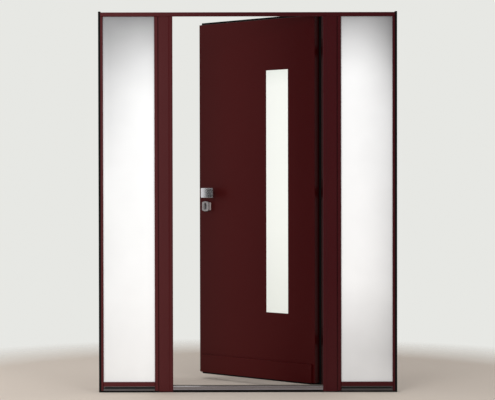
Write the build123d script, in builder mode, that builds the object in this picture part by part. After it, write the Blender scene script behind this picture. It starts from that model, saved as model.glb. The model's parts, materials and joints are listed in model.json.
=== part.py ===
from build123d import *
import math
import os

os.makedirs("parts", exist_ok=True)

# Entrance set: one steel leaf between two fixed side lights, in a painted frame.
# X runs to the right as seen from outside, Y inward, Z up. The origin is on the
# floor, midway along the sill and midway through the frame's depth.
# All sizes are in millimetres and degrees.

# Frame, read outward from the middle of the doorway
OPENING_WIDTH = 830.0
LIP_LAP = 20.0
LIP_FACE = 15.0
LIP_SLOPE = 8.0
LIP_PROUD = 5.0
LIP_CHAMFER = 3.0
POST_BODY = 57.0
JOINT_GAP = 5.0
INNER_STILE_WIDTH = 19.0
SIDELIGHT_WIDTH = 284.0
OUTER_STILE_WIDTH = 13.0
EDGE_STRIP_THICK = 12.0
FRAME_DEPTH = 50.0
LIP_THICK = 7.0
POST_WALL = 3.0
INNER_STILE_WEB = 7.0
OUTER_STILE_WEB = 6.0
PROFILE_ROUND = 1.5
STILE_CHAMFER = 4.0
JOINT_RIB_SETBACK = 10.0

# Frame, read upward from the floor
FRAME_HEIGHT = 2100.0
EDGE_STRIP_RISE = 5.0
HEAD_FACE = 23.0
HEAD_WEB = 7.0
HEAD_CHAMFER = 4.0
BASE_THICK = 4.0
BASE_RISE = 9.0
SIDE_BASE_RISE = 5.0
SIDE_SILL_HEIGHT = 24.0
SIDE_SILL_FOOT = 10.5
SIDE_SILL_GROOVE = 10.5
SIDE_SILL_GROOVE_DEPTH = 16.0
RAIL_HEIGHT = 24.0
RAIL_WEB = 10.0
RAIL_CHAMFER = 3.0

# Threshold
THRESHOLD_HEIGHT = 18.0
THRESHOLD_WALL = 2.5
THRESHOLD_CHAMFER = 3.0
THRESHOLD_CHAMBERS = 2
THRESHOLD_SETBACK = 4.0
THRESHOLD_TOE = 2.0
THRESHOLD_TOE_SLOPE = 4.5
STOP_THICK = 5.0
STOP_PROUD = 4.0
STOP_ROUND = 1.5

# Glazing
GLASS_THICK = 24.0
GLASS_EDGE_GAP = 2.0
GLASS_BLOCK = 3.0
GLASS_GASKET_THICK = 3.0
BEAD_CHAMFER = 3.0

# Seal in the lip round the doorway
SEAL_WIDTH = 10.0
SEAL_DEPTH = 4.0
SEAL_EDGE = 4.0

# Leaf
OPEN_ANGLE = 39.7
LEAF_SIDE_GAP = 9.0
LEAF_TOP_GAP = 5.0
LEAF_FRONT_GAP = 5.0
LEAF_FOOT_GAP = 7.0
FLANGE_THICK = 22.0
FLANGE_SIDE_LAP = 5.0
FLANGE_TOP_LAP = 7.0
FLANGE_FOOT_LAP = 6.0
LEAF_SEAL_THICK = 3.0
LEAF_SEAL_INSET = 2.0
LEAF_SEAL_FIN = 4.0
LEAF_SEAL_GAP = 5.0
LEAF_ROUND = 1.5

# Glass strip in the leaf
STRIP_WIDTH = 158.0
STRIP_HEIGHT = 1378.0
STRIP_FOOT = 420.0
STRIP_FROM_HINGE_EDGE = 188.0
STRIP_RECESS = 1.0
STRIP_REST = 10.0
STRIP_TRIM_WIDTH = 22.0
STRIP_TRIM_PROUD = 4.0

# Kick plate
KICK_HEIGHT = 104.0
KICK_PROUD = 9.0
KICK_SIDE_GAP = 6.0
KICK_CHAMFER = 4.0

# Lock, knob and lever
BACKSET = 63.0
LOCK_HEIGHT = 1020.0
KNOB_RISE = 79.0
KNOB_WIDTH = 90.0
KNOB_HEIGHT = 56.0
KNOB_THICK = 13.0
KNOB_CROWN = 4.0
KNOB_OFFSET = 38.0
KNOB_REACH = 58.0
KNOB_ROUND = 2.0
NECK_RADIUS = 11.0
NECK_FLARE = 15.0
ROSETTE_RADIUS = 26.0
ROSETTE_THICK = 9.0
ROSETTE_ROUND = 2.5
LOCK_BASE_WIDTH = 50.0
LOCK_BASE_HEIGHT = 46.0
LOCK_BASE_THICK = 12.0
LOCK_BASE_ROUND = 4.0
GUARD_THICK = 12.0
GUARD_ARCH = 6.0
GUARD_CORNER = 5.0
GUARD_ROUND = 2.0
GUARD_SLOT_WIDTH = 23.0
GUARD_SLOT_HEIGHT = 42.0
GUARD_SLOT_DEPTH = 7.0
CYLINDER_RADIUS = 8.5
CYLINDER_TAIL_WIDTH = 10.0
CYLINDER_HEIGHT = 33.0
CYLINDER_CLEAR = 0.3
CYLINDER_INSET = 2.0
KEYWAY_WIDTH = 2.4
KEYWAY_HEIGHT = 9.0
KEYWAY_DEPTH = 12.0
KEYWAY_RISE = 6.0
LEVER_LENGTH = 128.0
LEVER_HEIGHT = 20.0
LEVER_THICK = 11.0
LEVER_REACH = 56.0
LEVER_NECK_RADIUS = 9.5

# Lock case in the free edge, and its keep in the post
FACEPLATE_WIDTH = 22.0
FACEPLATE_HEIGHT = 240.0
FACEPLATE_THICK = 3.0
LOCK_POCKET_DEPTH = 16.0
LOCK_POCKET_HEIGHT = 190.0
BOLT_RADIUS = 7.0
BOLT_PITCH = 22.0
BOLT_COUNT = 3
BOLT_DROP = 26.0
BOLT_PROUD = 1.5
BOLT_CLEAR = 0.3
LATCH_WIDTH = 13.0
LATCH_HEIGHT = 32.0
KEEP_THICK = 2.0
KEEP_WIDTH = 26.0
KEEP_EASE = 2.0
KEEP_CLEAR = 0.2

# Hinges
LOWER_HINGE_HEIGHT = 301.0
MIDDLE_HINGE_HEIGHT = 1129.0
UPPER_HINGE_DROP = 182.0
HINGE_BESIDE_FLANGE = 10.0
HINGE_BEHIND_LEAF = 27.0
KNUCKLE_RADIUS = 9.0
KNUCKLE_LENGTH = 50.0
KNUCKLE_GAP = 0.5
PIN_RADIUS = 5.0
PIN_CLEAR = 0.08
PIN_ENGAGEMENT = 42.0
HINGE_PLATE_THICK = 4.0
HINGE_PLATE_WIDTH = 36.0
HINGE_ARM_THICK = 8.0
LEAF_WING_WIDTH = 50.0
LEAF_WING_INSET = 4.0

# Places in X, from the middle of the doorway outward
lip_x = OPENING_WIDTH / 2
lip_face_x = lip_x + LIP_FACE
rebate_x = lip_x + LIP_LAP
post_x = rebate_x + POST_BODY
stile_x = post_x + JOINT_GAP
light_x = stile_x + INNER_STILE_WIDTH
light_end_x = light_x + SIDELIGHT_WIDTH
frame_end_x = light_end_x + OUTER_STILE_WIDTH
set_end_x = frame_end_x + EDGE_STRIP_THICK

# Places in Y, from the front face inward
front_y = -FRAME_DEPTH / 2
rear_y = FRAME_DEPTH / 2
lip_y = front_y + LIP_THICK
post_flat_y = front_y + LIP_PROUD
leaf_face_y = lip_y + LEAF_FRONT_GAP
flange_y = rear_y + LEAF_SEAL_GAP + LEAF_SEAL_THICK
leaf_back_y = flange_y + FLANGE_THICK
hinge_y = leaf_back_y + HINGE_BEHIND_LEAF

# Places in Z, from the floor upward
step_z = BASE_THICK + BASE_RISE
threshold_z = step_z + THRESHOLD_HEIGHT
side_sill_z = BASE_THICK + SIDE_BASE_RISE
rail_z = side_sill_z + SIDE_SILL_HEIGHT
light_z = rail_z + RAIL_HEIGHT
head_z = FRAME_HEIGHT - HEAD_FACE
ceiling_z = FRAME_HEIGHT - HEAD_WEB
stop_z = threshold_z + STOP_PROUD
flange_foot_z = stop_z - FLANGE_FOOT_LAP
face_foot_z = stop_z + LEAF_FOOT_GAP
face_top_z = ceiling_z - LEAF_TOP_GAP
flange_top_z = ceiling_z + FLANGE_TOP_LAP
knob_z = LOCK_HEIGHT + KNOB_RISE
hinge_heights = {
    "lower": LOWER_HINGE_HEIGHT,
    "middle": MIDDLE_HINGE_HEIGHT,
    "upper": FRAME_HEIGHT - UPPER_HINGE_DROP,
}

# The closed leaf, measured from its hinge axis with x to the right and y inward
hinge_x = rebate_x + FLANGE_SIDE_LAP + HINGE_BESIDE_FLANGE
box_right = rebate_x - LEAF_SIDE_GAP - hinge_x
box_left = -(rebate_x - LEAF_SIDE_GAP) - hinge_x
flange_right = rebate_x + FLANGE_SIDE_LAP - hinge_x
flange_left = -(rebate_x + FLANGE_SIDE_LAP) - hinge_x
face_out = hinge_y - leaf_face_y
flange_out = hinge_y - flange_y
back_out = hinge_y - leaf_back_y
lock_axis = box_left + BACKSET
strip_right = box_right - STRIP_FROM_HINGE_EDGE
strip_middle = strip_right - STRIP_WIDTH / 2
strip_centre_z = STRIP_FOOT + STRIP_HEIGHT / 2

# The leaf stands ajar: its frame is turned about the hinge axis
open_cos = math.cos(math.radians(OPEN_ANGLE))
open_sin = math.sin(math.radians(OPEN_ANGLE))
leaf_outward = Axis((hinge_x, hinge_y, 0), (-open_sin, -open_cos, 0))


def leaf_front(out):
    """Upright plane of the leaf seen from outside, out from the hinge axis."""
    plane = Plane(
        origin=(hinge_x, hinge_y, 0),
        x_dir=(open_cos, -open_sin, 0),
        z_dir=(-open_sin, -open_cos, 0),
    )
    return plane.offset(out)


def leaf_plan(height):
    """Level plane on the hinge axis, x to the right and y inward of the leaf."""
    return Plane(
        origin=(hinge_x, hinge_y, height),
        x_dir=(open_cos, -open_sin, 0),
        z_dir=(0, 0, 1),
    )


def leaf_edge(height):
    """Upright plane of the leaf's free edge, x inward and y up, facing out of it."""
    across = Vector(-open_cos, open_sin, 0)
    return Plane(
        origin=Vector(hinge_x, hinge_y, height) + across * -box_left,
        x_dir=(-open_sin, -open_cos, 0),
        z_dir=across,
    )


def finish(part, name):
    """Labels a piece and writes it under the same name."""
    part.label = name
    export_step(part, f"parts/{name}.step")


# Sill and threshold


def doorway_plan(back_y):
    """Plan of what lies between the posts: narrow between their lips, wide behind."""
    Polyline(
        (-lip_x, front_y),
        (lip_x, front_y),
        (lip_x, lip_y),
        (rebate_x, lip_y),
        (rebate_x, back_y),
        (-rebate_x, back_y),
        (-rebate_x, lip_y),
        (-lip_x, lip_y),
        close=True,
    )


def make_sill_base():
    with BuildPart() as sill_base:
        with BuildSketch():
            Rectangle(2 * frame_end_x, FRAME_DEPTH)
        extrude(amount=BASE_THICK)
        with BuildSketch():
            for sign in (-1, 1):
                with Locations((sign * (stile_x + frame_end_x) / 2, 0)):
                    Rectangle(frame_end_x - stile_x, FRAME_DEPTH)
        extrude(amount=side_sill_z)
        with BuildSketch():
            with BuildLine():
                doorway_plan(rear_y)
            make_face()
        extrude(amount=step_z)
    finish(sill_base.part, "sill_base")


def make_threshold():
    face_y = front_y + THRESHOLD_SETBACK
    metal_y = rear_y - STOP_THICK
    chamber_pitch = (metal_y - face_y - THRESHOLD_WALL) / THRESHOLD_CHAMBERS
    chamber_height = THRESHOLD_HEIGHT - 2 * THRESHOLD_WALL
    with BuildPart() as threshold:
        with BuildSketch(Plane.XY.offset(step_z)):
            with BuildLine():
                doorway_plan(metal_y)
            make_face()
        extrude(amount=THRESHOLD_HEIGHT)
        with BuildSketch(Plane.YZ):
            with BuildLine():
                Polyline(
                    (front_y, step_z + THRESHOLD_TOE),
                    (face_y, step_z + THRESHOLD_TOE + THRESHOLD_TOE_SLOPE),
                    (face_y, threshold_z),
                    (front_y, threshold_z),
                    close=True,
                )
            make_face()
        extrude(amount=rebate_x, both=True, mode=Mode.SUBTRACT)
        top = threshold.faces().sort_by(Axis.Z)[-1]
        chamfer(top.edges().filter_by(Axis.X).sort_by(Axis.Y)[0], THRESHOLD_CHAMFER)
        with BuildSketch(Plane.YZ):
            middle = ((face_y + metal_y) / 2, step_z + THRESHOLD_HEIGHT / 2)
            with Locations(middle):
                with GridLocations(chamber_pitch, 1, THRESHOLD_CHAMBERS, 1):
                    Rectangle(chamber_pitch - THRESHOLD_WALL, chamber_height)
        extrude(amount=rebate_x - THRESHOLD_WALL, both=True, mode=Mode.SUBTRACT)
    finish(threshold.part, "threshold")

    with BuildPart() as stop:
        with BuildSketch(Plane.YZ):
            with Locations(((metal_y + rear_y) / 2, (step_z + stop_z) / 2)):
                Rectangle(STOP_THICK, stop_z - step_z)
        extrude(amount=rebate_x, both=True)
        top = stop.faces().sort_by(Axis.Z)[-1]
        fillet(top.edges().filter_by(Axis.X), STOP_ROUND)
    finish(stop.part, "threshold_stop")


def lip_strip(sign, near, far):
    """Plan of the front lip from one distance to another off the middle."""
    with Locations((sign * (near + far) / 2, (front_y + lip_y) / 2)):
        Rectangle(far - near, LIP_THICK)


def make_side_sill(side, sign):
    groove_z = side_sill_z + SIDE_SILL_FOOT
    groove_y = front_y + SIDE_SILL_GROOVE_DEPTH
    inner_web_x = stile_x + INNER_STILE_WEB
    outer_web_x = frame_end_x - OUTER_STILE_WEB
    with BuildPart() as side_sill:
        with BuildSketch(Plane.YZ.offset(sign * inner_web_x)):
            with BuildLine():
                Polyline(
                    (front_y, side_sill_z),
                    (rear_y, side_sill_z),
                    (rear_y, rail_z),
                    (front_y, rail_z),
                    (front_y, groove_z + SIDE_SILL_GROOVE),
                    (groove_y, groove_z + SIDE_SILL_GROOVE),
                    (groove_y, groove_z),
                    (front_y, groove_z),
                    close=True,
                )
            make_face()
        extrude(amount=sign * (outer_web_x - inner_web_x))
        with BuildSketch(Plane.XY.offset(side_sill_z)):
            lip_strip(sign, inner_web_x, light_x)
            lip_strip(sign, light_end_x, outer_web_x)
        extrude(amount=SIDE_SILL_HEIGHT, mode=Mode.SUBTRACT)
    finish(side_sill.part, f"{side}_side_sill")


# Head, posts and the seal let into their lips


def seal_outline():
    """Upright U of the seal, legs on the threshold and crossbar under the head."""
    outer_x = lip_x + SEAL_EDGE + SEAL_WIDTH
    outer_z = head_z + SEAL_EDGE + SEAL_WIDTH
    inner_x = outer_x - SEAL_WIDTH
    inner_z = outer_z - SEAL_WIDTH
    Polyline(
        (-outer_x, threshold_z),
        (-outer_x, outer_z),
        (outer_x, outer_z),
        (outer_x, threshold_z),
        (inner_x, threshold_z),
        (inner_x, inner_z),
        (-inner_x, inner_z),
        (-inner_x, threshold_z),
        close=True,
    )


def make_frame_seal():
    with BuildPart() as frame_seal:
        with BuildSketch(Plane.XZ.offset(-lip_y)):
            with BuildLine():
                seal_outline()
            make_face()
        extrude(amount=SEAL_DEPTH)
    finish(frame_seal.part, "frame_seal")


def make_head():
    with BuildPart() as frame_head:
        with BuildSketch(Plane.YZ):
            with BuildLine():
                Polyline(
                    (front_y, head_z + HEAD_CHAMFER),
                    (front_y + HEAD_CHAMFER, head_z),
                    (lip_y, head_z),
                    (lip_y, ceiling_z),
                    (rear_y, ceiling_z),
                    (rear_y, FRAME_HEIGHT),
                    (front_y, FRAME_HEIGHT),
                    close=True,
                )
            make_face()
            front_corners = vertices().group_by(Axis.Y)[0]
            fillet(front_corners, PROFILE_ROUND)
        extrude(amount=frame_end_x, both=True)
        with BuildSketch(Plane.XZ.offset(-lip_y)):
            with BuildLine():
                seal_outline()
            make_face()
        extrude(amount=SEAL_DEPTH, mode=Mode.SUBTRACT)
    finish(frame_head.part, "frame_head")


def make_post(side, sign):
    rib_front = front_y + JOINT_RIB_SETBACK
    rib_rear = rear_y - JOINT_RIB_SETBACK
    seal_x = lip_x + SEAL_EDGE + SEAL_WIDTH / 2
    chamber_width = POST_BODY - 2 * POST_WALL
    chamber_depth = rear_y - post_flat_y - 2 * POST_WALL
    with BuildPart() as post:
        with BuildSketch(Plane.XY.offset(BASE_THICK)) as section:
            with BuildLine():
                Polyline(
                    (sign * lip_x, front_y + LIP_CHAMFER),
                    (sign * (lip_x + LIP_CHAMFER), front_y),
                    (sign * lip_face_x, front_y),
                    (sign * (lip_face_x + LIP_SLOPE), post_flat_y),
                    (sign * post_x, post_flat_y),
                    (sign * post_x, rib_front),
                    (sign * stile_x, rib_front),
                    (sign * stile_x, rib_rear),
                    (sign * post_x, rib_rear),
                    (sign * post_x, rear_y),
                    (sign * rebate_x, rear_y),
                    (sign * rebate_x, lip_y),
                    (sign * lip_x, lip_y),
                    close=True,
                )
            make_face()
            fillet(section.vertices().group_by(Axis.Y)[0], PROFILE_ROUND)
            with Locations((sign * (rebate_x + POST_BODY / 2), (post_flat_y + rear_y) / 2)):
                Rectangle(chamber_width, chamber_depth, mode=Mode.SUBTRACT)
            with Locations((sign * seal_x, lip_y - SEAL_DEPTH / 2)):
                Rectangle(SEAL_WIDTH, SEAL_DEPTH, mode=Mode.SUBTRACT)
        extrude(amount=ceiling_z - BASE_THICK)
        with BuildSketch(Plane.XY.offset(head_z)):
            lip_strip(sign, lip_x, stile_x)
        extrude(amount=HEAD_FACE, mode=Mode.SUBTRACT)
        if side == "left":
            with BuildSketch(Plane.YZ.offset(-rebate_x)):
                keep_outline(KEEP_CLEAR)
            extrude(amount=-KEEP_THICK, mode=Mode.SUBTRACT)
            with BuildSketch(Plane.YZ.offset(-rebate_x)):
                keep_holes()
            extrude(amount=-POST_WALL, mode=Mode.SUBTRACT)
    finish(post.part, f"{side}_post")


# Side lights


def make_inner_stile(side, sign):
    web_x = stile_x + INNER_STILE_WEB
    with BuildPart() as stile:
        with BuildSketch(Plane.XY.offset(side_sill_z)) as section:
            with BuildLine():
                Polyline(
                    (sign * stile_x, front_y),
                    (sign * (light_x - STILE_CHAMFER), front_y),
                    (sign * light_x, front_y + STILE_CHAMFER),
                    (sign * light_x, lip_y),
                    (sign * web_x, lip_y),
                    (sign * web_x, rear_y),
                    (sign * stile_x, rear_y),
                    close=True,
                )
            make_face()
            fillet(section.vertices().group_by(Axis.Y)[0], PROFILE_ROUND)
        extrude(amount=ceiling_z - side_sill_z)
        with BuildSketch(Plane.XY.offset(head_z)):
            lip_strip(sign, stile_x, light_x)
        extrude(amount=HEAD_FACE, mode=Mode.SUBTRACT)
    finish(stile.part, f"{side}_inner_stile")


def make_outer_stile(side, sign):
    web_x = frame_end_x - OUTER_STILE_WEB
    with BuildPart() as stile:
        with BuildSketch(Plane.XY.offset(side_sill_z)) as section:
            with BuildLine():
                Polyline(
                    (sign * frame_end_x, front_y),
                    (sign * (light_end_x + STILE_CHAMFER), front_y),
                    (sign * light_end_x, front_y + STILE_CHAMFER),
                    (sign * light_end_x, lip_y),
                    (sign * web_x, lip_y),
                    (sign * web_x, rear_y),
                    (sign * frame_end_x, rear_y),
                    close=True,
                )
            make_face()
            fillet(section.vertices().group_by(Axis.Y)[0], PROFILE_ROUND)
        extrude(amount=ceiling_z - side_sill_z)
        with BuildSketch(Plane.XY.offset(head_z)):
            lip_strip(sign, light_end_x, frame_end_x)
        extrude(amount=HEAD_FACE, mode=Mode.SUBTRACT)
    finish(stile.part, f"{side}_outer_stile")


def make_bottom_rail(side, sign):
    inner_web_x = stile_x + INNER_STILE_WEB
    outer_web_x = frame_end_x - OUTER_STILE_WEB
    with BuildPart() as rail:
        with BuildSketch(Plane.YZ.offset(sign * inner_web_x)):
            with BuildLine():
                Polyline(
                    (front_y, rail_z),
                    (rear_y, rail_z),
                    (rear_y, rail_z + RAIL_WEB),
                    (lip_y, rail_z + RAIL_WEB),
                    (lip_y, light_z),
                    (front_y + RAIL_CHAMFER, light_z),
                    (front_y, light_z - RAIL_CHAMFER),
                    close=True,
                )
            make_face()
        extrude(amount=sign * (outer_web_x - inner_web_x))
        with BuildSketch(Plane.XY.offset(rail_z)):
            lip_strip(sign, inner_web_x, light_x)
            lip_strip(sign, light_end_x, outer_web_x)
        extrude(amount=RAIL_HEIGHT, mode=Mode.SUBTRACT)
    finish(rail.part, f"{side}_bottom_rail")


def glass_left_right():
    """Edges of a side light's glass, as distances from the middle of the doorway."""
    near = stile_x + INNER_STILE_WEB + GLASS_EDGE_GAP
    far = frame_end_x - OUTER_STILE_WEB - GLASS_EDGE_GAP
    return near, far


def window_sketch(sign, near, far, foot, top):
    """Upright rectangle given by its edges, on the plane of the sketch."""
    with Locations((sign * (near + far) / 2, (foot + top) / 2)):
        Rectangle(far - near, top - foot)


def make_glazing(side, sign):
    near, far = glass_left_right()
    foot = rail_z + RAIL_WEB + GLASS_BLOCK
    top = ceiling_z - GLASS_EDGE_GAP
    glass_y = lip_y + GLASS_GASKET_THICK
    bead_y = glass_y + GLASS_THICK
    with BuildPart() as glass:
        with BuildSketch(Plane.XZ.offset(-bead_y)):
            window_sketch(sign, near, far, foot, top)
        extrude(amount=GLASS_THICK)
    finish(glass.part, f"{side}_glass")

    with BuildPart() as gasket:
        with BuildSketch(Plane.XZ.offset(-glass_y)):
            window_sketch(sign, near, far, foot, top)
            with Locations((sign * (light_x + light_end_x) / 2, (light_z + head_z) / 2)):
                Rectangle(SIDELIGHT_WIDTH, head_z - light_z, mode=Mode.SUBTRACT)
        extrude(amount=GLASS_GASKET_THICK)
    finish(gasket.part, f"{side}_glass_gasket")

    with BuildPart() as bead:
        with BuildSketch(Plane.XZ.offset(-rear_y)):
            window_sketch(
                sign,
                stile_x + INNER_STILE_WEB,
                frame_end_x - OUTER_STILE_WEB,
                rail_z + RAIL_WEB,
                ceiling_z,
            )
            with Locations((sign * (light_x + light_end_x) / 2, (light_z + head_z) / 2)):
                Rectangle(SIDELIGHT_WIDTH, head_z - light_z, mode=Mode.SUBTRACT)
        extrude(amount=rear_y - bead_y)
        back_face = bead.faces().sort_by(Axis.Y)[-1]
        chamfer(back_face.inner_wires()[0].edges(), BEAD_CHAMFER)
    finish(bead.part, f"{side}_glazing_bead")


def make_edge_strip(side, sign):
    with BuildPart() as strip:
        with BuildSketch():
            with Locations((sign * (frame_end_x + set_end_x) / 2, 0)):
                Rectangle(EDGE_STRIP_THICK, FRAME_DEPTH)
        extrude(amount=FRAME_HEIGHT + EDGE_STRIP_RISE)
    finish(strip.part, f"{side}_edge_strip")


# Keep for the lock, let into the left post


def keep_places():
    """Heights of the latch hole and the bolt holes above the floor."""
    bolts = [LOCK_HEIGHT - BOLT_DROP - BOLT_PITCH * n for n in range(BOLT_COUNT)]
    return knob_z, bolts


def case_centre_out():
    """Distance of the lock case's middle in front of the hinge axis."""
    return (face_out + flange_out) / 2


def case_middle_z():
    """Middle height of the faceplate, between the latch and the lowest bolt."""
    latch, bolts = keep_places()
    return (latch + bolts[-1]) / 2


def keep_outline(ease):
    """Round-ended keep on the plane of the post's rebate, with an even ease."""
    with Locations((hinge_y - case_centre_out(), case_middle_z())):
        SlotOverall(FACEPLATE_HEIGHT + 2 * ease, KEEP_WIDTH + 2 * ease, rotation=90)


def keep_holes():
    """Latch hole and bolt holes, a little larger than what enters them."""
    latch, bolts = keep_places()
    middle_y = hinge_y - case_centre_out()
    with Locations((middle_y, latch)):
        Rectangle(LATCH_WIDTH + 2 * KEEP_EASE, LATCH_HEIGHT + 2 * KEEP_EASE)
    with Locations(*[(middle_y, bolt) for bolt in bolts]):
        Circle(BOLT_RADIUS + KEEP_EASE)


def make_lock_keep():
    with BuildPart() as keep:
        with BuildSketch(Plane.YZ.offset(-rebate_x)):
            keep_outline(0)
        extrude(amount=-KEEP_THICK)
        with BuildSketch(Plane.YZ.offset(-rebate_x)):
            keep_holes()
        extrude(amount=-KEEP_THICK, mode=Mode.SUBTRACT)
    finish(keep.part, "lock_keep")


# Leaf


def leaf_rectangle(left, right, foot, top):
    """Rectangle in the leaf seen from outside, given by its edges."""
    with Locations(((left + right) / 2, (foot + top) / 2)):
        Rectangle(right - left, top - foot)


def cylinder_profile(ease, mode=Mode.ADD):
    """Outline of the lock cylinder with an even ease: a round over a narrow tail."""
    round_z = LOCK_HEIGHT + CYLINDER_HEIGHT / 2 - CYLINDER_RADIUS
    tail_radius = CYLINDER_TAIL_WIDTH / 2
    tail_z = LOCK_HEIGHT - CYLINDER_HEIGHT / 2 + tail_radius
    with Locations((lock_axis, round_z)):
        Circle(CYLINDER_RADIUS + ease, mode=mode)
    with Locations((lock_axis, (round_z + tail_z) / 2)):
        Rectangle(CYLINDER_TAIL_WIDTH + 2 * ease, round_z - tail_z, mode=mode)
    with Locations((lock_axis, tail_z)):
        Circle(tail_radius + ease, mode=mode)


def make_outer_panel():
    with BuildPart() as outer_panel:
        with BuildSketch(leaf_front(flange_out)):
            leaf_rectangle(box_left, box_right, face_foot_z, face_top_z)
        extrude(amount=face_out - flange_out)
        front_edges = outer_panel.faces().sort_by(leaf_outward)[-1].edges()
        fillet(front_edges.filter_by(Axis.Z) + [front_edges.sort_by(Axis.Z)[-1]], LEAF_ROUND)
        with BuildSketch(leaf_front(flange_out)):
            with Locations((strip_middle, strip_centre_z)):
                Rectangle(STRIP_WIDTH, STRIP_HEIGHT)
            cylinder_profile(CYLINDER_CLEAR)
        extrude(amount=face_out - flange_out, mode=Mode.SUBTRACT)
        with BuildSketch(leaf_edge(0)):
            faceplate_outline(CYLINDER_CLEAR)
        extrude(amount=-FACEPLATE_THICK, mode=Mode.SUBTRACT)
        with BuildSketch(leaf_edge(0)):
            lock_pocket()
        extrude(amount=-LOCK_POCKET_DEPTH, mode=Mode.SUBTRACT)
    finish(outer_panel.part, "outer_panel")


def make_inner_panel():
    opening_width = STRIP_WIDTH - 2 * STRIP_REST
    opening_height = STRIP_HEIGHT - 2 * STRIP_REST
    with BuildPart() as inner_panel:
        with BuildSketch(leaf_front(back_out)):
            leaf_rectangle(flange_left, flange_right, flange_foot_z, flange_top_z)
        extrude(amount=FLANGE_THICK)
        with BuildSketch(leaf_front(back_out)):
            with Locations((strip_middle, strip_centre_z)):
                Rectangle(opening_width, opening_height)
            cylinder_profile(CYLINDER_CLEAR)
        extrude(amount=FLANGE_THICK, mode=Mode.SUBTRACT)
    finish(inner_panel.part, "inner_panel")


def make_leaf_seal():
    with BuildPart() as leaf_seal:
        with BuildSketch(leaf_front(flange_out)):
            leaf_rectangle(
                flange_left - LEAF_SEAL_FIN,
                flange_right - LEAF_SEAL_INSET,
                flange_foot_z - LEAF_SEAL_FIN,
                flange_top_z + LEAF_SEAL_FIN,
            )
        extrude(amount=LEAF_SEAL_THICK)
        with BuildSketch(leaf_front(flange_out)):
            leaf_rectangle(box_left, box_right, face_foot_z, face_top_z)
        extrude(amount=LEAF_SEAL_THICK, mode=Mode.SUBTRACT)
    finish(leaf_seal.part, "leaf_seal")


def make_leaf_glass():
    with BuildPart() as leaf_glass:
        with BuildSketch(leaf_front(flange_out)):
            with Locations((strip_middle, strip_centre_z)):
                Rectangle(STRIP_WIDTH, STRIP_HEIGHT)
        extrude(amount=face_out - flange_out - STRIP_RECESS)
    finish(leaf_glass.part, "leaf_glass")

    trim_width = STRIP_WIDTH - 2 * STRIP_REST + 2 * STRIP_TRIM_WIDTH
    trim_height = STRIP_HEIGHT - 2 * STRIP_REST + 2 * STRIP_TRIM_WIDTH
    with BuildPart() as leaf_trim:
        with BuildSketch(leaf_front(back_out)):
            with Locations((strip_middle, strip_centre_z)):
                Rectangle(trim_width, trim_height)
                Rectangle(
                    STRIP_WIDTH - 2 * STRIP_REST,
                    STRIP_HEIGHT - 2 * STRIP_REST,
                    mode=Mode.SUBTRACT,
                )
        extrude(amount=-STRIP_TRIM_PROUD)
    finish(leaf_trim.part, "leaf_glass_trim")


def make_kick_plate():
    left = -(lip_x - KICK_SIDE_GAP) - hinge_x
    right = lip_x - KICK_SIDE_GAP - hinge_x
    with BuildPart() as kick_plate:
        with BuildSketch(leaf_front(face_out)):
            leaf_rectangle(left, right, face_foot_z, face_foot_z + KICK_HEIGHT)
        extrude(amount=KICK_PROUD)
        outer_face = kick_plate.faces().sort_by(Axis.Y)[0]
        upper_edge = outer_face.edges().sort_by(Axis.Z)[-1]
        chamfer(upper_edge, KICK_CHAMFER)
    finish(kick_plate.part, "kick_plate")


# Knob, lock and lever


def make_rosette(name, out, direction):
    """Round rosette round the spindle, on the outer or the inner face."""
    with BuildPart() as rosette:
        with BuildSketch(leaf_front(out)):
            with Locations((lock_axis, knob_z)):
                Circle(ROSETTE_RADIUS)
        extrude(amount=direction * ROSETTE_THICK)
        rim = rosette.edges().filter_by(GeomType.CIRCLE)
        outer_rim = rim.sort_by(Axis.Y)[0 if direction > 0 else -1]
        fillet(outer_rim, ROSETTE_ROUND)
    finish(rosette.part, name)


def make_knob():
    pad_back = face_out + KNOB_REACH - KNOB_THICK
    pad_front = face_out + KNOB_REACH
    pad_x = lock_axis + KNOB_OFFSET
    with BuildPart() as knob:
        with BuildSketch(leaf_plan(knob_z - KNOB_HEIGHT / 2)):
            with BuildLine():
                Polyline(
                    (pad_x - KNOB_WIDTH / 2, KNOB_CROWN - pad_front),
                    (pad_x - KNOB_WIDTH / 2, -pad_back),
                    (pad_x + KNOB_WIDTH / 2, -pad_back),
                    (pad_x + KNOB_WIDTH / 2, KNOB_CROWN - pad_front),
                )
                ThreePointArc(
                    (pad_x + KNOB_WIDTH / 2, KNOB_CROWN - pad_front),
                    (pad_x, -pad_front),
                    (pad_x - KNOB_WIDTH / 2, KNOB_CROWN - pad_front),
                )
            make_face()
        extrude(amount=KNOB_HEIGHT)
        fillet(knob.edges(), KNOB_ROUND)
        neck_foot = face_out + ROSETTE_THICK
        neck_axis = leaf_plan(knob_z)
        with BuildSketch(neck_axis):
            with BuildLine():
                Polyline(
                    (lock_axis, -neck_foot),
                    (lock_axis + NECK_FLARE, -neck_foot),
                )
                ThreePointArc(
                    (lock_axis + NECK_FLARE, -neck_foot),
                    (lock_axis + NECK_RADIUS, -(neck_foot + pad_back) / 2),
                    (lock_axis + NECK_FLARE, -pad_back),
                )
                Polyline(
                    (lock_axis + NECK_FLARE, -pad_back),
                    (lock_axis, -pad_back),
                    (lock_axis, -neck_foot),
                )
            make_face()
        spin = Axis(neck_axis.from_local_coords((lock_axis, 0, 0)), neck_axis.y_dir)
        revolve(axis=spin)
    finish(knob.part, "knob")


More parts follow.
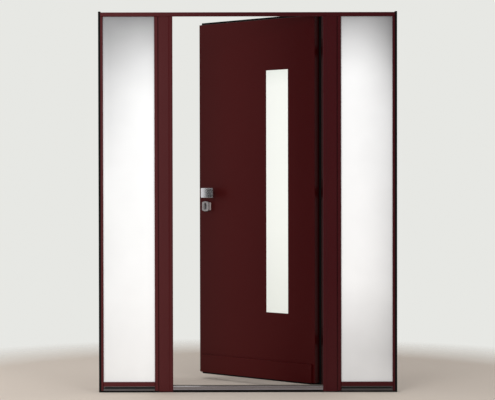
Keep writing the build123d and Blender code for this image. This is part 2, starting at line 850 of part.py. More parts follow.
def make_lock():
    with BuildPart() as lock_base:
        with BuildSketch(leaf_front(face_out)):
            with Locations((lock_axis, LOCK_HEIGHT)):
                RectangleRounded(LOCK_BASE_WIDTH, LOCK_BASE_HEIGHT, LOCK_BASE_ROUND)
            cylinder_profile(CYLINDER_CLEAR, Mode.SUBTRACT)
        extrude(amount=LOCK_BASE_THICK)
    finish(lock_base.part, "lock_base")

    guard_foot = face_out + LOCK_BASE_THICK
    left = lock_axis - LOCK_BASE_WIDTH / 2
    right = lock_axis + LOCK_BASE_WIDTH / 2
    side_top = LOCK_HEIGHT + LOCK_BASE_HEIGHT / 2
    side_foot = LOCK_HEIGHT - LOCK_BASE_HEIGHT / 2
    with BuildPart() as lock_guard:
        with BuildSketch(leaf_front(guard_foot)) as outline:
            with BuildLine():
                Line((left, side_foot), (left, side_top))
                arched = (lock_axis, side_top + GUARD_ARCH)
                ThreePointArc((left, side_top), arched, (right, side_top))
                Line((right, side_top), (right, side_foot))
                arched = (lock_axis, side_foot - GUARD_ARCH)
                ThreePointArc((right, side_foot), arched, (left, side_foot))
            make_face()
            fillet(outline.vertices(), GUARD_CORNER)
        extrude(amount=GUARD_THICK)
        front = lock_guard.faces().sort_by(leaf_outward)[-1]
        fillet(front.edges(), GUARD_ROUND)
        with BuildSketch(leaf_front(guard_foot + GUARD_THICK)):
            with Locations((lock_axis, LOCK_HEIGHT)):
                SlotOverall(GUARD_SLOT_HEIGHT, GUARD_SLOT_WIDTH, rotation=90)
        extrude(amount=-GUARD_SLOT_DEPTH, mode=Mode.SUBTRACT)
        with BuildSketch(leaf_front(guard_foot)):
            cylinder_profile(CYLINDER_CLEAR)
        extrude(amount=GUARD_THICK, mode=Mode.SUBTRACT)
    finish(lock_guard.part, "lock_guard")

    with BuildPart() as inner_lock_rosette:
        with BuildSketch(leaf_front(back_out)):
            with Locations((lock_axis, LOCK_HEIGHT)):
                Circle(ROSETTE_RADIUS)
            cylinder_profile(CYLINDER_CLEAR, Mode.SUBTRACT)
        extrude(amount=-ROSETTE_THICK)
    finish(inner_lock_rosette.part, "inner_lock_rosette")


def make_cylinder():
    outer_end = face_out + LOCK_BASE_THICK + GUARD_THICK - GUARD_SLOT_DEPTH - CYLINDER_INSET
    inner_end = back_out - ROSETTE_THICK - CYLINDER_INSET
    with BuildPart() as cylinder:
        with BuildSketch(leaf_front(inner_end)):
            cylinder_profile(0)
        extrude(amount=outer_end - inner_end)
        with BuildSketch(leaf_front(outer_end)):
            with Locations((lock_axis, LOCK_HEIGHT + KEYWAY_RISE)):
                Rectangle(KEYWAY_WIDTH, KEYWAY_HEIGHT)
        extrude(amount=-KEYWAY_DEPTH, mode=Mode.SUBTRACT)
    finish(cylinder.part, "lock_cylinder")


def make_lever():
    neck_foot = back_out - ROSETTE_THICK
    bar_out = back_out - LEVER_REACH
    with BuildPart() as lever:
        with BuildSketch(leaf_front(neck_foot)):
            with Locations((lock_axis, knob_z)):
                Circle(LEVER_NECK_RADIUS)
        extrude(amount=bar_out - neck_foot)
        with BuildSketch(leaf_front(bar_out)):
            middle = lock_axis + LEVER_LENGTH / 2 - LEVER_HEIGHT / 2
            with Locations((middle, knob_z)):
                SlotOverall(LEVER_LENGTH, LEVER_HEIGHT)
        extrude(amount=LEVER_THICK)
    finish(lever.part, "inner_lever")


# Lock case in the free edge


def faceplate_outline(ease):
    """Round-ended faceplate on the plane of the free edge, with an even ease."""
    with Locations((case_centre_out(), case_middle_z())):
        SlotOverall(FACEPLATE_HEIGHT + 2 * ease, FACEPLATE_WIDTH + 2 * ease, rotation=90)


def lock_pocket():
    """Room behind the faceplate for the latch and the bolts."""
    with Locations((case_centre_out(), case_middle_z())):
        Rectangle(2 * BOLT_RADIUS + 2 * BOLT_CLEAR, LOCK_POCKET_HEIGHT)


def make_lock_case():
    latch, bolts = keep_places()
    middle = case_centre_out()
    with BuildPart() as faceplate:
        with BuildSketch(leaf_edge(0)):
            faceplate_outline(0)
            with Locations((middle, latch)):
                Rectangle(
                    LATCH_WIDTH + 2 * BOLT_CLEAR,
                    LATCH_HEIGHT + 2 * BOLT_CLEAR,
                    mode=Mode.SUBTRACT,
                )
            with Locations(*[(middle, bolt) for bolt in bolts]):
                Circle(BOLT_RADIUS + BOLT_CLEAR, mode=Mode.SUBTRACT)
        extrude(amount=-FACEPLATE_THICK)
    finish(faceplate.part, "lock_faceplate")

    with BuildPart() as latch_bolt:
        with BuildSketch(leaf_edge(0).offset(-LOCK_POCKET_DEPTH)):
            with Locations((middle, latch)):
                Rectangle(LATCH_WIDTH, LATCH_HEIGHT)
        extrude(amount=LOCK_POCKET_DEPTH + BOLT_PROUD)
    finish(latch_bolt.part, "latch_bolt")

    with BuildPart() as dead_bolts:
        with BuildSketch(leaf_edge(0).offset(-LOCK_POCKET_DEPTH)):
            with Locations(*[(middle, bolt) for bolt in bolts]):
                Circle(BOLT_RADIUS)
        extrude(amount=LOCK_POCKET_DEPTH + BOLT_PROUD)
    finish(dead_bolts.part, "dead_bolts")


# Hinges


def make_hinge(name, height):
    lower_z = height - KNUCKLE_LENGTH
    upper_z = height + KNUCKLE_GAP
    stand_off = hinge_y - rear_y
    plate_left = hinge_x - HINGE_ARM_THICK / 2
    with BuildPart() as frame_half:
        with BuildSketch(Plane.XY.offset(lower_z)):
            with Locations((plate_left + HINGE_PLATE_WIDTH / 2, rear_y + HINGE_PLATE_THICK / 2)):
                Rectangle(HINGE_PLATE_WIDTH, HINGE_PLATE_THICK)
            with Locations((hinge_x, rear_y + stand_off / 2)):
                Rectangle(HINGE_ARM_THICK, stand_off)
            with Locations((hinge_x, hinge_y)):
                Circle(KNUCKLE_RADIUS)
        extrude(amount=KNUCKLE_LENGTH)
        with BuildSketch(Plane.XY.offset(lower_z)):
            with Locations((hinge_x, hinge_y)):
                Circle(PIN_RADIUS)
        extrude(amount=KNUCKLE_LENGTH + PIN_ENGAGEMENT)
    finish(frame_half.part, f"{name}_hinge_frame_half")

    wing_right = flange_right - LEAF_WING_INSET
    wing_face = -back_out
    with BuildPart() as leaf_half:
        with BuildSketch(leaf_plan(upper_z)):
            with Locations((wing_right - LEAF_WING_WIDTH / 2, wing_face + HINGE_PLATE_THICK / 2)):
                Rectangle(LEAF_WING_WIDTH, HINGE_PLATE_THICK)
            with BuildLine():
                Polyline(
                    (wing_right - 2 * HINGE_ARM_THICK, wing_face + HINGE_PLATE_THICK),
                    (wing_right, wing_face + HINGE_PLATE_THICK / 2),
                    (PIN_RADIUS, -PIN_RADIUS),
                    (-PIN_RADIUS, PIN_RADIUS),
                    close=True,
                )
            make_face()
            Circle(KNUCKLE_RADIUS)
        extrude(amount=KNUCKLE_LENGTH)
        with BuildSketch(leaf_plan(upper_z)):
            Circle(PIN_RADIUS + PIN_CLEAR)
        extrude(amount=PIN_ENGAGEMENT + PIN_CLEAR, mode=Mode.SUBTRACT)
    finish(leaf_half.part, f"{name}_hinge_leaf_half")


make_sill_base()
make_threshold()
make_head()
make_frame_seal()
make_lock_keep()
for side, sign in (("left", -1), ("right", 1)):
    make_side_sill(side, sign)
    make_post(side, sign)
    make_inner_stile(side, sign)
    make_outer_stile(side, sign)
    make_bottom_rail(side, sign)
    make_glazing(side, sign)
    make_edge_strip(side, sign)
make_outer_panel()
make_inner_panel()
make_leaf_seal()
make_leaf_glass()
make_kick_plate()
make_rosette("knob_rosette", face_out, 1)
make_rosette("lever_rosette", back_out, -1)
make_knob()
make_lock()
make_cylinder()
make_lever()
make_lock_case()
for name, height in hinge_heights.items():
    make_hinge(name, height)
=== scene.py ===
import json
import math

import bmesh
import bpy
from mathutils import Matrix, Vector


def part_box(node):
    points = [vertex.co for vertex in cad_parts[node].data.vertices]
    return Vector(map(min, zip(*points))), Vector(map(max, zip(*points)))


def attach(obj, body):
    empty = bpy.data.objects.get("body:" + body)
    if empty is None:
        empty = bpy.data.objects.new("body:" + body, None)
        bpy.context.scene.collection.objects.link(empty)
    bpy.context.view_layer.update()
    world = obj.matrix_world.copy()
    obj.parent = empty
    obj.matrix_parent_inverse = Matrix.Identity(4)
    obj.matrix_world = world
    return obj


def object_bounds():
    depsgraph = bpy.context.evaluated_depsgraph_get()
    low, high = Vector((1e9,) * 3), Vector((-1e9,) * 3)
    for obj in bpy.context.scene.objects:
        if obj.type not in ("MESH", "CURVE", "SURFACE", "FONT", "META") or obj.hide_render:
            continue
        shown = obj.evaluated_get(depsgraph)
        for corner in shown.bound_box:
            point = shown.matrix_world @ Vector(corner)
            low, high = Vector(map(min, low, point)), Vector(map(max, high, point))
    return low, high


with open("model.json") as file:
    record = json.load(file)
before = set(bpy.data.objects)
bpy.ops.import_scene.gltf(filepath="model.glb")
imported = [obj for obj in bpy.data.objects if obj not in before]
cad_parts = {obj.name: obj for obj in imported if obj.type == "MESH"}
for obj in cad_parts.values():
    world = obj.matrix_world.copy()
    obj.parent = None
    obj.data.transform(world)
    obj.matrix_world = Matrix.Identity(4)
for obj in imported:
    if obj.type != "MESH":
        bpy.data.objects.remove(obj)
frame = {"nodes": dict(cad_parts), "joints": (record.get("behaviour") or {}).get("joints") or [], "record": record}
cad_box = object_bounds()
nodes = frame["nodes"]
hinge = frame["joints"][0]
hinge_line = Vector(hinge["pos_m"])
turn = math.radians(hinge["range_deg"][0])
MM = 0.001

# Directions on the leaf, which stands ajar: along it towards the free edge, and out of its face
leaf_along = Vector((-math.cos(turn), -math.sin(turn), 0.0))
leaf_out = Vector((math.sin(turn), -math.cos(turn), 0.0))


def leaf_point(along, out, height):
    """A point of the leaf from its distance along and out of the hinge line, all in millimetres."""
    return hinge_line + MM * (along * leaf_along + out * leaf_out) + Vector((0, 0, MM * height))


# Node trees

def new_material(name):
    """A named material with its node tree and main shader."""
    made = bpy.data.materials.new(name)
    made.use_nodes = True
    return made, made.node_tree, made.node_tree.nodes["Principled BSDF"]


def add(tree, kind, **settings):
    """A node with some of its properties set."""
    node = tree.nodes.new(kind)
    for key, value in settings.items():
        setattr(node, key, value)
    return node


def noise(tree, size_mm, detail=2.0, stretch=(1, 1, 1), roughness=0.5):
    """Noise whose grain is about size_mm across, drawn out along an axis by a stretch below 1."""
    place = add(tree, "ShaderNodeTexCoord")
    mapping = add(tree, "ShaderNodeMapping")
    mapping.inputs["Scale"].default_value = stretch
    tree.links.new(place.outputs["Object"], mapping.inputs["Vector"])
    node = add(tree, "ShaderNodeTexNoise")
    node.inputs["Scale"].default_value = 1 / (size_mm * MM)
    node.inputs["Detail"].default_value = detail
    node.inputs["Roughness"].default_value = roughness
    tree.links.new(mapping.outputs["Vector"], node.inputs["Vector"])
    return node.outputs["Fac"]


def place_axis(tree, axis):
    """One of the object's own coordinates, in metres."""
    place = add(tree, "ShaderNodeTexCoord")
    split = add(tree, "ShaderNodeSeparateXYZ")
    tree.links.new(place.outputs["Object"], split.inputs["Vector"])
    return split.outputs[axis]


def spread(tree, value, low, high, start=0.0, end=1.0, interpolation="LINEAR"):
    """A value mapped from start and end to low and high, and held beyond them."""
    node = add(tree, "ShaderNodeMapRange", interpolation_type=interpolation)
    tree.links.new(value, node.inputs["Value"])
    for key, number in (("From Min", start), ("From Max", end), ("To Min", low), ("To Max", high)):
        node.inputs[key].default_value = number
    return node.outputs["Result"]


def speckled(tree, grain, low, high):
    """The middle part of a noise, which holds nearly all of it, mapped to low and high."""
    return spread(tree, grain, low, high, 0.3, 0.7)


def arithmetic(tree, operation, first, second):
    """One step of arithmetic on numbers or outputs."""
    node = add(tree, "ShaderNodeMath", operation=operation)
    for socket, value in zip(node.inputs, (first, second)):
        if isinstance(value, (int, float)):
            socket.default_value = value
        else:
            tree.links.new(value, socket)
    return node.outputs["Value"]


def product(tree, first, *others):
    """Several numbers or outputs multiplied."""
    for other in others:
        first = arithmetic(tree, "MULTIPLY", first, other)
    return first


def blend_colours(tree, factor, first, second):
    """A colour between two colours."""
    node = add(tree, "ShaderNodeMix", data_type="RGBA")
    tree.links.new(factor, node.inputs["Factor"])
    for key, colour in (("A", first), ("B", second)):
        socket = next(s for s in node.inputs if s.name == key and s.type == "RGBA")
        socket.default_value = (*colour, 1.0)
    return next(s for s in node.outputs if s.type == "RGBA")


def bump(tree, shader, height, depth_mm, strength):
    """Fine relief from a height output."""
    node = add(tree, "ShaderNodeBump")
    node.inputs["Strength"].default_value = strength
    node.inputs["Distance"].default_value = depth_mm * MM
    tree.links.new(height, node.inputs["Height"])
    tree.links.new(node.outputs["Normal"], shader.inputs["Normal"])


# Finishes

def powder_coat(name, light, dark, sheen_level, painted_light_full_at, painted_light_gone_at):
    """Fine-grained satin paint, with painted light that makes it lighter towards one end along X, with a pebbled
    relief and an uneven gloss.
    """
    made, tree, shader = new_material(name)
    grain = noise(tree, 1.6, detail=3.0)
    drift = speckled(tree, noise(tree, 420.0, detail=1.0), -0.06, 0.06)
    # Painted light: the paint turns lighter towards one end along X
    painted_light_along_x = spread(tree, place_axis(tree, "X"), 1.0, 0.0, painted_light_full_at, painted_light_gone_at)
    uneven = arithmetic(tree, "ADD", drift, speckled(tree, grain, -0.12, 0.12))
    shade = arithmetic(tree, "ADD", painted_light_along_x, uneven)
    tree.links.new(blend_colours(tree, shade, dark, light), shader.inputs["Base Color"])
    tree.links.new(speckled(tree, noise(tree, 9.0), 0.34, 0.46), shader.inputs["Roughness"])
    shader.inputs["Specular IOR Level"].default_value = sheen_level
    bump(tree, shader, grain, 0.05, 0.35)
    return made


def brushed_steel(name, light, dark, stretch, roughness=(0.24, 0.4), metal=1.0):
    """Satin metal with fine lines along one direction; a metal below 1 gives a blasted, chalky look."""
    made, tree, shader = new_material(name)
    lines = noise(tree, 0.5, detail=3.0, stretch=stretch, roughness=0.7)
    patches = noise(tree, 60.0)
    shade = arithmetic(tree, "ADD", product(tree, lines, 0.6), product(tree, patches, 0.4))
    tree.links.new(blend_colours(tree, shade, dark, light), shader.inputs["Base Color"])
    tree.links.new(speckled(tree, lines, *roughness), shader.inputs["Roughness"])
    shader.inputs["Metallic"].default_value = metal
    bump(tree, shader, lines, 0.02, 0.05)
    return made


def rubber(name, light, dark, roughness, sheen_level):
    """Dull extrusion with faint lines and dust."""
    made, tree, shader = new_material(name)
    dust = noise(tree, 14.0, detail=4.0)
    tree.links.new(blend_colours(tree, dust, dark, light), shader.inputs["Base Color"])
    tree.links.new(speckled(tree, dust, *roughness), shader.inputs["Roughness"])
    shader.inputs["Specular IOR Level"].default_value = sheen_level
    bump(tree, shader, noise(tree, 0.9, detail=3.0), 0.05, 0.4)
    return made


def opal_glass(name, light, shaded, shade):
    """White glass, smooth outside, with painted shade: the shade function says where its colour is painted greyer.
    """
    made, tree, shader = new_material(name)
    mottle = speckled(tree, noise(tree, 180.0), -0.02, 0.02)
    amount = arithmetic(tree, "ADD", shade(tree), mottle)
    tree.links.new(blend_colours(tree, amount, light, shaded), shader.inputs["Base Color"])
    tree.links.new(speckled(tree, noise(tree, 35.0), 0.1, 0.16), shader.inputs["Roughness"])
    shader.inputs["Specular IOR Level"].default_value = 0.4
    return made


# Painted shade in the white glass, by places in metres; the side lights end at the head

LIGHT_TOP = 2.077


def deepening(tree, value, start, end, power):
    """Nothing at start and all of it at end, slower at first for a higher power."""
    return arithmetic(tree, "POWER", spread(tree, value, 0.0, 1.0, start, end), power)


def together(tree, *shades):
    """Several shades laid over each other, which never add up to more than one."""
    clear = 1.0
    for shade in shades:
        clear = arithmetic(tree, "MULTIPLY", arithmetic(tree, "SUBTRACT", 1.0, shade), clear)
    return arithmetic(tree, "SUBTRACT", 1.0, clear)


def left_light_shade(tree):
    """Most at the head, and more towards the outer edge, above all high up."""
    across, height = place_axis(tree, "X"), place_axis(tree, "Z")
    head = deepening(tree, height, 1.50, LIGHT_TOP, 2.1)
    edge = deepening(tree, across, -0.542, -0.765, 1.5)
    outer = product(tree, edge, spread(tree, height, 0.11, 0.55, 1.15, 2.05))
    foot = spread(tree, height, 0.055, 0.0, 0.08, 0.5)
    return together(tree, head, outer, foot)


def right_light_shade(tree):
    """A little at the head and foot, and a band down the outer edge that deepens high up."""
    across, height = place_axis(tree, "X"), place_axis(tree, "Z")
    head = product(tree, deepening(tree, height, 1.72, LIGHT_TOP, 1.6), 0.72)
    edge = deepening(tree, across, 0.53, 0.79, 2.4)
    high_up = spread(tree, deepening(tree, height, 1.45, 2.08, 1.6), 0.28, 0.87)
    low_down = spread(tree, height, 0.5, 1.0, 0.08, 0.2)
    foot = spread(tree, height, 0.33, 0.0, 0.22, 0.62)
    return together(tree, head, product(tree, edge, high_up, low_down), foot)


def leaf_light_shade(tree):
    """More near the foot of the strip, and a little at its top."""
    height = place_axis(tree, "Z")
    foot = spread(tree, height, 0.35, 0.0, 0.42, 0.9)
    top = spread(tree, height, 0.0, 0.45, 1.70, 1.80)
    return together(tree, foot, top)


# Each paint's lighter tone carries its painted light towards one end along X; between the two tones it also varies
# at random
WINE_LIGHT, WINE_DARK = (0.080, 0.0090, 0.0100), (0.046, 0.0018, 0.0035)
LEAF_LIGHT, LEAF_DARK = (0.058, 0.0045, 0.0045), (0.036, 0.0003, 0.0007)
LINES_ACROSS = (0.02, 1, 1)
NO_LINES = (1, 1, 1)


def lines_upright(stretch):
    """Brushed lines that run up and down, the longer the smaller the stretch."""
    return (1, 1, stretch)


finishes = {
    "frame_paint": powder_coat("frame_paint", WINE_LIGHT, WINE_DARK, 0.22, -0.62, -0.02),
    "leaf_paint": powder_coat("leaf_paint", LEAF_LIGHT, LEAF_DARK, 0.13, -0.2, 0.3),
    "black_trim": rubber("black_trim", (0.006, 0.0055, 0.005), (0.003, 0.003, 0.003), (0.5, 0.65), 0.12),
    "seal_rubber": rubber("seal_rubber", (0.006, 0.0065, 0.006), (0.003, 0.0032, 0.003), (0.65, 0.8), 0.1),
    # A paler grey rubber for the threshold's stop
    "pale_grey_rubber": rubber("pale_grey_rubber", (0.19, 0.17, 0.15), (0.14, 0.125, 0.11), (0.6, 0.75), 0.2),
    "groove_rubber": rubber("groove_rubber", (0.034, 0.037, 0.033), (0.02, 0.022, 0.02), (0.6, 0.75), 0.15),
    # The two side lights hold one glass: their lit colours differ as painted light, and each takes its painted
    # shade from its shade function
    "left_glass": opal_glass("left_glass", (0.93, 0.94, 0.945), (0.25, 0.25, 0.255), left_light_shade),
    "right_glass": opal_glass("right_glass", (0.98, 0.985, 0.99), (0.19, 0.185, 0.19), right_light_shade),
    "leaf_glass": opal_glass("leaf_glass", (0.93, 0.96, 0.915), (0.72, 0.77, 0.715), leaf_light_shade),
    # Darker than the threshold's metal: painted shade for the side sills, which the bottom rails shade
    "sill_aluminium": brushed_steel(
        "sill_aluminium", (0.2, 0.19, 0.2), (0.12, 0.115, 0.12), LINES_ACROSS, (0.35, 0.5)
    ),
    "threshold_steel": brushed_steel(
        "threshold_steel", (0.33, 0.30, 0.31), (0.25, 0.23, 0.235), LINES_ACROSS
    ),
    "satin_steel": brushed_steel(
        "satin_steel", (0.66, 0.65, 0.67), (0.52, 0.52, 0.54), lines_upright(0.04), (0.2, 0.3), 0.94
    ),
    "blasted_steel": brushed_steel(
        "blasted_steel", (0.385, 0.365, 0.37), (0.32, 0.305, 0.31), lines_upright(0.2), (0.5, 0.6), 0.3
    ),
    # A lighter, pinker copy of the guard's blasted steel: painted light on the side of the lock's base
    "painted_light_steel": brushed_steel(
        "painted_light_steel", (0.80, 0.73, 0.72), (0.68, 0.62, 0.61), lines_upright(0.2), (0.5, 0.6), 0.3
    ),
    # Darker than the lock's steel: painted shade for the cylinder deep in the guard's slot
    "cylinder_nickel": brushed_steel(
        "cylinder_nickel", (0.30, 0.285, 0.29), (0.21, 0.20, 0.205), NO_LINES
    ),
    "lock_steel": brushed_steel(
        "lock_steel", (0.5, 0.5, 0.51), (0.4, 0.4, 0.41), lines_upright(0.03)
    ),
    "hinge_steel": brushed_steel(
        "hinge_steel", (0.42, 0.42, 0.43), (0.32, 0.32, 0.33), lines_upright(0.05), (0.32, 0.46)
    ),
}

# Nodes whose finish differs from the others of their slot
own_finish = {
    "left_glass": "left_glass",
    "right_glass": "right_glass",
    "leaf_glass": "leaf_glass",
    "lock_guard": "blasted_steel",
    # The lock's base takes the lit copy of the guard's steel, with painted light
    "lock_base": "painted_light_steel",
    "threshold_stop": "pale_grey_rubber",
}
for part in frame["record"]["subparts"]:
    finish = finishes[own_finish.get(part["node"], part["material_slot"])]
    for holder in nodes[part["node"]].material_slots:
        holder.material = finish


# Small pieces

def add_piece(name, mesh, body, finish):
    """One visible piece from a finished mesh, which rides on a body."""
    data = bpy.data.meshes.new(name)
    mesh.to_mesh(data)
    mesh.free()
    data.materials.append(finishes[finish])
    piece = bpy.data.objects.new(name, data)
    bpy.context.scene.collection.objects.link(piece)
    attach(piece, body)


def drawn(profile, start, end):
    """A mesh of even section from one X to another, from a profile of (y, z) in millimetres."""
    mesh = bmesh.new()
    ends = [[mesh.verts.new((x, MM * y, MM * z)) for y, z in profile] for x in (start, end)]
    for index in range(len(profile)):
        after = (index + 1) % len(profile)
        mesh.faces.new((ends[0][index], ends[0][after], ends[1][after], ends[1][index]))
    mesh.faces.new(ends[0])
    mesh.faces.new(ends[1])
    bmesh.ops.recalc_face_normals(mesh, faces=mesh.faces)
    return mesh


SCREW_SIDES = 24
SIXTH = math.pi / 3


def screw(name, profile, socket_rings):
    """A turned screw head from rings of (radius, height) in millimetres; its socket's rings are hexagons."""
    mesh = bmesh.new()
    rings = []
    for index, (radius, height) in enumerate(profile):
        ring = []
        for step in range(SCREW_SIDES):
            angle = 2 * math.pi * step / SCREW_SIDES
            reach = radius
            if index in socket_rings:
                reach = radius * math.cos(SIXTH / 2) / math.cos(angle % SIXTH - SIXTH / 2)
            point = (MM * reach * math.cos(angle), MM * reach * math.sin(angle), MM * height)
            ring.append(mesh.verts.new(point))
        rings.append(ring)
    for lower, upper in zip(rings, rings[1:]):
        for step in range(SCREW_SIDES):
            after = (step + 1) % SCREW_SIDES
            mesh.faces.new((lower[step], lower[after], upper[after], upper[step]))
    mesh.faces.new(list(reversed(rings[0])))
    mesh.faces.new(rings[-1])
    bmesh.ops.recalc_face_normals(mesh, faces=mesh.faces)
    data = bpy.data.meshes.new(name)
    mesh.to_mesh(data)
    mesh.free()
    return data


def facing(point, outward):
    """The matrix that stands a screw on a point, with its height along outward."""
    turned = outward.to_track_quat("Z", "Y").to_matrix().to_4x4()
    return Matrix.Translation(point) @ turned


def screws(name, head, places, body, slot):
    """Copies of one screw head at several places, as one piece."""
    whole = bmesh.new()
    for place in places:
        first = len(whole.verts)
        whole.from_mesh(head)
        whole.verts.ensure_lookup_table()
        bmesh.ops.transform(whole, matrix=place, verts=whole.verts[first:])
    add_piece(name, whole, body, slot)


# Countersunk screws with a hexagon socket, sunk so that only the head's rim stands proud
SOCKET_RINGS = (3, 4)
LARGE_HEAD = [(3.2, -0.8), (4.2, 0.1), (3.9, 0.4), (1.9, 0.45), (1.8, -0.5)]
SMALL_HEAD = [(2.4, -0.6), (3.2, 0.1), (2.9, 0.35), (1.4, 0.4), (1.3, -0.4)]
large_screw = screw("screw", LARGE_HEAD, SOCKET_RINGS)
small_screw = screw("small_screw", SMALL_HEAD, SOCKET_RINGS)

# Screws of the hinges: three in each wing behind the leaf, and two in each plate behind the post
HINGE_PLATE = 4.0
LEAF_BACK = 27.0
WING_SCREWS = ((54, 11), (54, 39), (40, 25))
PLATE_SCREW_RISES = (0.011, 0.039)
PLATE_SCREW_INSET = 0.013
plate_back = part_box("right_post")[1].y + HINGE_PLATE * MM
wing_places, plate_places = [], []
for name in ("lower", "middle", "upper"):
    wing_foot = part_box(f"{name}_hinge_leaf_half")[0].z / MM
    plate_low, plate_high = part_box(f"{name}_hinge_frame_half")
    for along, rise in WING_SCREWS:
        wing_places.append(facing(leaf_point(along, LEAF_BACK - HINGE_PLATE, wing_foot + rise), -leaf_out))
    for rise in PLATE_SCREW_RISES:
        place = Vector((plate_high.x - PLATE_SCREW_INSET, plate_back, plate_low.z + rise))
        plate_places.append(facing(place, Vector((0, 1, 0))))
screws("hinge_leaf_screws", large_screw, wing_places, "leaf", "hinge_steel")
screws("hinge_post_screws", large_screw, plate_places, "frame", "hinge_steel")

# Screws above and below the lock in its faceplate, and in the keep across from it
CASE_SCREW_RISES = (-107, 107)
FACEPLATE_ALONG, FACEPLATE_OUT = 876.0, 72.0
face_low, face_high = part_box("lock_faceplate")
keep_low, keep_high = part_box("lock_keep")
case_middle = (face_low.z + face_high.z) / 2 / MM
keep_middle_y = (keep_low.y + keep_high.y) / 2
faceplate_places, keep_places = [], []
for rise in CASE_SCREW_RISES:
    height = case_middle + rise
    faceplate_places.append(facing(leaf_point(FACEPLATE_ALONG, FACEPLATE_OUT, height), leaf_along))
    keep_places.append(facing(Vector((keep_high.x, keep_middle_y, MM * height)), Vector((1, 0, 0))))
screws("faceplate_screws", small_screw, faceplate_places, "leaf", "lock_steel")
screws("keep_screws", small_screw, keep_places, "frame", "lock_steel")

# Screws of the two inner rosettes, of the cylinder and of the lever
LOCK_ALONG, ROSETTE_FACE = 813.0, 18.0
ROSETTE_SCREW_SIDE = 18
ROSETTE_HEIGHTS = (1020, 1099)
screws("rosette_screws", small_screw, [
    facing(leaf_point(LOCK_ALONG + side, ROSETTE_FACE, height), -leaf_out)
    for side in (-ROSETTE_SCREW_SIDE, ROSETTE_SCREW_SIDE) for height in ROSETTE_HEIGHTS
], "leaf", "satin_steel")

# Dark rubber insert at the back of the groove in each side light's sill, which makes the groove look dark, with a
# shallow rib along its middle
INSERT_BACK, INSERT_FACE, RIB_FACE = -9.05, -12.5, -13.5
INSERT_FOOT, INSERT_TOP = 10.6, 20.9
RIB_ROOT, RIB_CREST = 1.6, 0.8
INSERT_END_GAP = 0.013
for side_name in ("left", "right"):
    rail_low, rail_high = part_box(f"{side_name}_bottom_rail")
    sill_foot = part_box(f"{side_name}_side_sill")[0].z / MM
    foot, top = sill_foot + INSERT_FOOT, sill_foot + INSERT_TOP
    middle = (foot + top) / 2
    insert = drawn([
        (INSERT_BACK, foot), (INSERT_FACE, foot),
        (INSERT_FACE, middle - RIB_ROOT), (RIB_FACE, middle - RIB_CREST),
        (RIB_FACE, middle + RIB_CREST), (INSERT_FACE, middle + RIB_ROOT),
        (INSERT_FACE, top), (INSERT_BACK, top),
    ], rail_low.x + INSERT_END_GAP, rail_high.x - INSERT_END_GAP)
    add_piece(f"{side_name}_sill_insert", insert, "frame", "groove_rubber")

# Camera, placed as the photograph's was
CAMERA_BEFORE_FRAME = 8.42
CAMERA_SIDE = -0.002
CAMERA_HEIGHT = 1.179
CAMERA_PITCH = 0.7825
CAMERA_ROLL = -0.1
LENS = 110.85
camera = bpy.data.objects.new("camera", bpy.data.cameras.new("camera"))
camera.data.lens = LENS
camera.data.sensor_width = 36.0
camera.location = (CAMERA_SIDE, cad_box[0].y - CAMERA_BEFORE_FRAME, CAMERA_HEIGHT)
pitched = Matrix.Rotation(math.radians(90 - CAMERA_PITCH), 4, "X")
rolled = Matrix.Rotation(math.radians(CAMERA_ROLL), 4, "Z")
camera.rotation_euler = (pitched @ rolled).to_euler()
bpy.context.scene.collection.objects.link(camera)
bpy.context.scene.camera = camera
bpy.context.scene.view_settings.view_transform = "Standard"


# Studio

def soft_lamp(name, place, aim_at, size, strength, mirrored=False):
    """A rectangular soft lamp of a strength per square metre, which may show in reflections."""
    light = bpy.data.lights.new(name, "AREA")
    light.shape = "RECTANGLE"
    light.size, light.size_y = size
    light.energy = strength * size[0] * size[1]
    lamp = bpy.data.objects.new(name, light)
    lamp.location = place
    lamp.rotation_euler = (Vector(aim_at) - Vector(place)).to_track_quat("-Z", "Y").to_euler()
    lamp.visible_glossy = mirrored
    bpy.context.scene.collection.objects.link(lamp)


soft_lamp("key", (-1.9, -4.4, 2.4), (-0.1, 0, 1.0), (2.4, 2.4), 10.8)
soft_lamp("fill", (3.0, -5.2, 2.4), (0, 0, 1.0), (2.4, 2.4), 9.8)
soft_lamp("side", (-3.2, 0.3, 1.35), (0, 0.4, 1.1), (1.0, 2.2), 8.0)
soft_lamp("panel", (-2.7, -4.4, 1.4), (-2.7, 0, 1.4), (4.6, 3.0), 3.6, mirrored=True)

# How bright the studio is: as the camera sees it, as even light, and as reflections show it in front
# of the object, behind it, to its right and above it. Its bright half turns away from the right.
SEEN_COLOUR = (0.80, 0.805, 0.775)
EVEN_LIGHT = 0.58
FRONT_MIRRORED, BACK_MIRRORED = 0.03, 1.1
WALL_MIRRORED, CEILING_MIRRORED = 0.40, 0.7
TURNED_ASIDE = 0.6


def white_background(tree):
    """An even white background."""
    node = add(tree, "ShaderNodeBackground")
    node.inputs["Color"].default_value = (1.0, 1.0, 1.0, 1.0)
    return node


def choose(tree, factor, first, second):
    """The first shader where the factor is 0, and the second where it is 1."""
    node = add(tree, "ShaderNodeMixShader")
    tree.links.new(factor, node.inputs["Fac"])
    tree.links.new(first.outputs[0], node.inputs[1])
    tree.links.new(second.outputs[0], node.inputs[2])
    return node


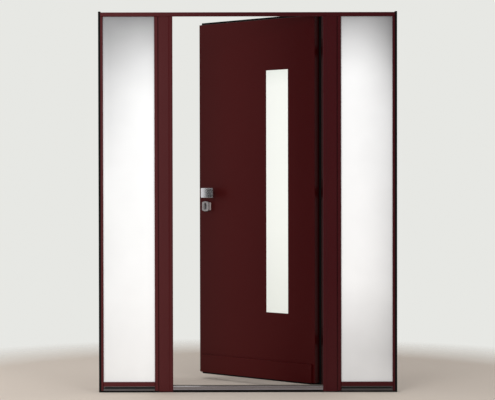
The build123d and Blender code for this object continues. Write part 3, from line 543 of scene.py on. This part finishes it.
def build_world():
    """Pale for the camera and through glass; in reflections pale behind and above, and dim in front."""
    world = bpy.data.worlds.new("studio")
    world.use_nodes = True
    world.cycles.sampling_method = "NONE"
    bpy.context.scene.world = world
    tree = world.node_tree
    seen = tree.nodes["Background"]
    seen.inputs["Color"].default_value = (*SEEN_COLOUR, 1.0)
    even = white_background(tree)
    even.inputs["Strength"].default_value = EVEN_LIGHT
    mirrored = white_background(tree)
    direction = add(tree, "ShaderNodeTexCoord")
    split = add(tree, "ShaderNodeSeparateXYZ")
    tree.links.new(direction.outputs["Generated"], split.inputs["Vector"])
    rightward = arithmetic(tree, "MAXIMUM", split.outputs["X"], 0.0)
    backward = arithmetic(tree, "SUBTRACT", split.outputs["Y"], product(tree, rightward, TURNED_ASIDE))
    behind = spread(tree, backward, FRONT_MIRRORED, BACK_MIRRORED, -0.18, 0.03, "SMOOTHSTEP")
    wall = spread(tree, split.outputs["X"], 0.0, WALL_MIRRORED, 0.6, 0.95)
    ceiling = spread(tree, split.outputs["Z"], 0.0, CEILING_MIRRORED, 0.6, 0.95)
    strength = arithmetic(tree, "ADD", behind, arithmetic(tree, "ADD", wall, ceiling))
    tree.links.new(strength, mirrored.inputs["Strength"])
    path = add(tree, "ShaderNodeLightPath")
    direct = arithmetic(tree, "MAXIMUM", path.outputs["Is Camera Ray"], path.outputs["Is Transmission Ray"])
    indirect = choose(tree, path.outputs["Is Glossy Ray"], even, mirrored)
    whole = choose(tree, direct, indirect, seen)
    tree.links.new(whole.outputs[0], tree.nodes["World Output"].inputs["Surface"])


FLOOR_COLOUR = (0.71, 0.625, 0.545)
FLOOR_RADIUS, FLOOR_FADES_AT, FLOOR_GONE_AT = 2.9, 1.9, 2.85
FLOOR_SIDES = 96


def build_floor():
    """A round pale floor whose rim fades into the background."""
    mesh = bmesh.new()
    bmesh.ops.create_circle(mesh, cap_ends=True, segments=FLOOR_SIDES, radius=FLOOR_RADIUS)
    data = bpy.data.meshes.new("floor")
    mesh.to_mesh(data)
    mesh.free()
    floor = bpy.data.objects.new("floor", data)
    bpy.context.scene.collection.objects.link(floor)
    made, tree, shader = new_material("floor")
    shader.inputs["Base Color"].default_value = (*FLOOR_COLOUR, 1.0)
    shader.inputs["Roughness"].default_value = 0.9
    shader.inputs["Specular IOR Level"].default_value = 0.1
    away = add(tree, "ShaderNodeVectorMath", operation="LENGTH")
    place = add(tree, "ShaderNodeTexCoord")
    tree.links.new(place.outputs["Object"], away.inputs[0])
    shown = spread(tree, away.outputs["Value"], 1.0, 0.0, FLOOR_FADES_AT, FLOOR_GONE_AT)
    tree.links.new(shown, shader.inputs["Alpha"])
    data.materials.append(made)


build_world()
build_floor()
